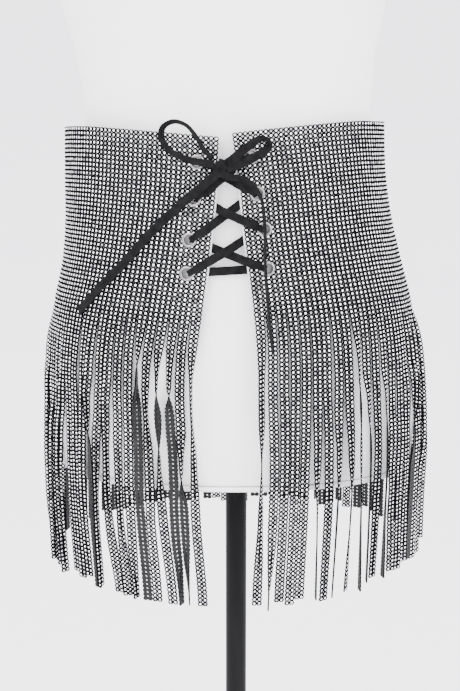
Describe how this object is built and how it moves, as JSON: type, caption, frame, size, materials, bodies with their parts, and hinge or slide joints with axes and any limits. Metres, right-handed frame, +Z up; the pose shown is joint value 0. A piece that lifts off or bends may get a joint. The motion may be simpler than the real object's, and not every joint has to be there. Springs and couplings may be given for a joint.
{
  "type": "rhinestone fringe belt on a dress form",
  "caption": "Wrap belt of rhinestone net, laced with a bow at the open front, its lower edge cut into long fringe, on a limbless dress form with a pole and a round foot.",
  "frame": {"origin": "centre of the foot's underside, on the floor", "axes": "+Z up the pole, the belt's open front faces -Y, the wearer's right is -X"},
  "size_m": [0.41, 0.41, 1.53],
  "materials": {
    "form": "satin white",
    "stand": "satin black",
    "net": "black net set with clear faceted stones",
    "facing": "white tape",
    "eyelet": "polished silver",
    "lace": "matte black suede"
  },
  "bodies": {
    "root": {"form_torso": "form", "form_bottom_plate": "form", "stand_pole": "stand", "stand_foot": "stand", "band_left": "net", "band_right": "net", "fringe_left": "net", "fringe_right": "net", "facing_left": "facing", "facing_right": "facing", "eyelet_left_1": "eyelet", "eyelet_left_2": "eyelet", "eyelet_left_3": "eyelet", "eyelet_left_4": "eyelet", "eyelet_right_1": "eyelet", "eyelet_right_2": "eyelet", "eyelet_right_3": "eyelet", "eyelet_right_4": "eyelet", "lace_bar": "lace", "lace_left_2": "lace", "lace_left_3": "lace", "lace_left_4": "lace", "lace_right_2": "lace", "lace_right_3": "lace", "lace_right_4": "lace", "lace_end_left": "lace", "lace_end_right": "lace", "bow_knot": "lace", "bow_loop_left": "lace", "bow_loop_right": "lace", "bow_tail_left": "lace", "bow_tail_right": "lace"}
  },
  "joints": []
}
